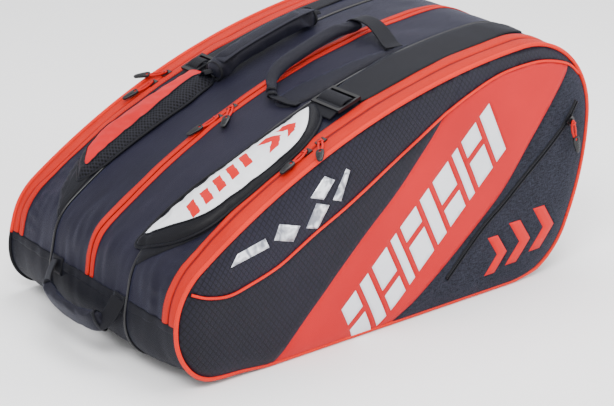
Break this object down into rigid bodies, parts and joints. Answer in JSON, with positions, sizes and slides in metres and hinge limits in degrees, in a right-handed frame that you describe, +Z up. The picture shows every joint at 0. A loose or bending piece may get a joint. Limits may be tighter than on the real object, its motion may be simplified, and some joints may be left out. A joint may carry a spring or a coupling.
{
  "type": "racket tournament bag",
  "caption": "Three-compartment racket bag with a high round end, zipped clamshell side panels, top flaps, padded shoulder straps and three carry handles.",
  "frame": {"origin": "centre of the flat bottom, midway between the two ends of the side outline and midway between the side panels", "axes": "+X along the bag towards the tall round end, -Y the front panel with the pocket, +Z up"},
  "size_m": [0.7935, 0.4698, 0.3901],
  "materials": {
    "board": "matt hardboard insert",
    "lining": "thin polyester lining",
    "black_piping": "satin covered cord",
    "red_piping": "satin covered cord",
    "red_tape": "woven zip tape",
    "slider_black": "semi-gloss black",
    "pull": "moulded tab on a red cord",
    "buckle": "satin moulded",
    "pad_silver": "smooth silver coated fabric over foam",
    "pad_red": "smooth coated fabric over foam",
    "webbing": "ribbed polyester webbing",
    "handle_fabric": "padded polyester",
    "base_fabric": "matt coated fabric",
    "pocket_fabric": "heathered polyester",
    "panel_fabric": "ripstop polyester over foam",
    "body_fabric": "plain weave polyester over foam"
  },
  "bodies": {
    "bag": {"base_board": "board", "end_handle_tabs": "webbing", "far_divider": "lining", "far_gusset_lower": "base_fabric", "far_gusset_upper": "body_fabric", "far_seam_piping": "black_piping", "far_shoulder_pad": "pad_red", "far_side_panel_lower": "panel_fabric", "far_side_piping_lower": "red_piping", "far_strap_lower": "webbing", "far_strap_upper": "webbing", "far_zip_tape_body": "red_tape", "mid_gusset_lower": "base_fabric", "mid_gusset_upper": "body_fabric", "mid_zip_tape": "red_tape", "near_divider": "lining", "near_gusset_lower": "base_fabric", "near_gusset_upper": "body_fabric", "near_seam_piping": "black_piping", "near_shoulder_pad": "pad_silver", "near_side_panel_lower": "panel_fabric", "near_side_piping_lower": "red_piping", "near_strap_lower": "webbing", "near_strap_upper": "webbing", "near_zip_tape_body": "red_tape"},
    "near_panel": {"near_side_panel": "panel_fabric", "near_panel_rim": "body_fabric", "near_side_piping_upper": "red_piping", "near_panel_foam": "panel_fabric", "near_pocket": "pocket_fabric", "near_zip_tape_panel": "red_tape"},
    "far_panel": {"far_side_panel": "panel_fabric", "far_panel_rim": "body_fabric", "far_side_piping_upper": "red_piping", "far_panel_foam": "panel_fabric", "far_zip_tape_panel": "red_tape"},
    "near_flap": {"mid_flap_near": "body_fabric"},
    "far_flap": {"mid_flap_far": "body_fabric"},
    "near_left_slider": {"near_slider_left": "slider_black"},
    "near_left_pull": {"near_pull_left": "pull"},
    "near_right_slider": {"near_slider_right": "slider_black"},
    "near_right_pull": {"near_pull_right": "pull"},
    "mid_left_slider": {"mid_slider_left": "slider_black"},
    "mid_left_pull": {"mid_pull_left": "pull"},
    "mid_right_slider": {"mid_slider_right": "slider_black"},
    "mid_right_pull": {"mid_pull_right": "pull"},
    "far_left_slider": {"far_slider_left": "slider_black"},
    "far_left_pull": {"far_pull_left": "pull"},
    "far_right_slider": {"far_slider_right": "slider_black"},
    "far_right_pull": {"far_pull_right": "pull"},
    "pocket_slider": {"pocket_slider": "slider_black"},
    "pocket_pull": {"pocket_pull": "pull"},
    "near_handle": {"near_handle_webbing": "webbing", "near_handle_grip": "handle_fabric"},
    "far_handle": {"far_handle_webbing": "webbing", "far_handle_sleeve": "handle_fabric"},
    "end_handle": {"end_handle_webbing": "webbing", "end_handle_grip": "handle_fabric"},
    "near_lock": {"near_ladder_lock": "buckle"},
    "far_lock": {"far_ladder_lock": "buckle"}
  },
  "joints": [
    {"name": "near_panel_hinge", "type": "hinge", "parent": "bag", "child": "near_panel", "pos_m": [0, -0.2285, 0.1], "axis": [1, 0, 0], "range_deg": [0, 75]},
    {"name": "far_panel_hinge", "type": "hinge", "parent": "bag", "child": "far_panel", "pos_m": [0, 0.2285, 0.1], "axis": [-1, 0, 0], "range_deg": [0, 75]},
    {"name": "near_flap_hinge", "type": "hinge", "parent": "bag", "child": "near_flap", "pos_m": [0.06082, -0.05, 0.35519], "axis": [0.9757, 0, 0.2191], "range_deg": [0, 60]},
    {"name": "far_flap_hinge", "type": "hinge", "parent": "bag", "child": "far_flap", "pos_m": [0.06082, 0.05, 0.35519], "axis": [0.9757, 0, 0.2191], "range_deg": [-60, 0]},
    {"name": "near_handle_swing", "type": "hinge", "parent": "bag", "child": "near_handle", "pos_m": [0.00737, -0.09, 0.34386], "axis": [0.9638, 0, 0.2667], "range_deg": [0, 120]},
    {"name": "far_handle_swing", "type": "hinge", "parent": "bag", "child": "far_handle", "pos_m": [-0.01237, 0.112, 0.34133], "axis": [-0.9589, 0, -0.2836], "range_deg": [0, 45]},
    {"name": "end_handle_swing", "type": "hinge", "parent": "bag", "child": "end_handle", "pos_m": [-0.3796, 0, 0.0955], "axis": [0, 1, 0], "range_deg": [0, 80]},
    {"name": "near_left_slide", "type": "hinge", "parent": "near_panel", "child": "near_left_slider", "pos_m": [0.30441, -0.19, -0.72967], "axis": [0, -1, 0], "range_deg": [0, 9.62]},
    {"name": "near_left_pull_flip", "type": "hinge", "parent": "near_left_slider", "child": "near_left_pull", "pos_m": [-0.14004, -0.19, 0.29016], "axis": [-0.1276, 0.9903, -0.0556], "range_deg": [0, 100]},
    {"name": "near_right_slide", "type": "hinge", "parent": "near_panel", "child": "near_right_slider", "pos_m": [0.30441, -0.19, -0.72967], "axis": [0, 1, 0], "range_deg": [0, 18.28]},
    {"name": "near_right_pull_flip", "type": "hinge", "parent": "near_right_slider", "child": "near_right_pull", "pos_m": [-0.11486, -0.19, 0.30077], "axis": [-0.7096, 0.6428, -0.2887], "range_deg": [0, 100]},
    {"name": "mid_left_slide", "type": "hinge", "parent": "bag", "child": "mid_left_slider", "pos_m": [0.30441, 0, -0.72967], "axis": [0, -1, 0], "range_deg": [0, 8.99]},
    {"name": "mid_left_pull_flip", "type": "hinge", "parent": "mid_left_slider", "child": "mid_left_pull", "pos_m": [-0.15316, 0, 0.28983], "axis": [0.127, 0.9903, 0.057], "range_deg": [0, 100]},
    {"name": "mid_right_slide", "type": "hinge", "parent": "bag", "child": "mid_right_slider", "pos_m": [0.30441, 0, -0.72967], "axis": [0, 1, 0], "range_deg": [0, 18.9]},
    {"name": "mid_right_pull_flip", "type": "hinge", "parent": "mid_right_slider", "child": "mid_right_pull", "pos_m": [-0.12787, 0, 0.3008], "axis": [-0.5677, 0.788, -0.2382], "range_deg": [0, 100]},
    {"name": "far_left_slide", "type": "hinge", "parent": "far_panel", "child": "far_left_slider", "pos_m": [0.30441, 0.19, -0.72967], "axis": [0, -1, 0], "range_deg": [0, 9.62]},
    {"name": "far_left_pull_flip", "type": "hinge", "parent": "far_left_slider", "child": "far_left_pull", "pos_m": [-0.14004, 0.19, 0.29016], "axis": [0.1276, 0.9903, 0.0556], "range_deg": [0, 100]},
    {"name": "far_right_slide", "type": "hinge", "parent": "far_panel", "child": "far_right_slider", "pos_m": [0.30441, 0.19, -0.72967], "axis": [0, 1, 0], "range_deg": [0, 18.28]},
    {"name": "far_right_pull_flip", "type": "hinge", "parent": "far_right_slider", "child": "far_right_pull", "pos_m": [-0.11486, 0.19, 0.30077], "axis": [0.7096, 0.6428, 0.2887], "range_deg": [0, 100]},
    {"name": "pocket_slide", "type": "slide", "parent": "near_panel", "child": "pocket_slider", "axis": [-0.7869, 0, -0.617], "range_m": [0, 0.205]},
    {"name": "pocket_pull_swing", "type": "hinge", "parent": "pocket_slider", "child": "pocket_pull", "pos_m": [0.326, -0.237, 0.246], "axis": [0, 1, 0], "range_deg": [-80, 80]},
    {"name": "near_lock_tilt", "type": "hinge", "parent": "bag", "child": "near_lock", "pos_m": [-0.06759, -0.14, 0.32321], "axis": [0, -1, 0], "range_deg": [0, 45]},
    {"name": "far_lock_tilt", "type": "hinge", "parent": "bag", "child": "far_lock", "pos_m": [-0.10372, 0.146, 0.30974], "axis": [0, -1, 0], "range_deg": [0, 45]}
  ],
  "couplings": [
    {"joint": "far_flap_hinge", "follows": "near_flap_hinge", "ratio": -1},
    {"joint": "near_handle_swing", "follows": "near_flap_hinge", "ratio": 2}
  ]
}
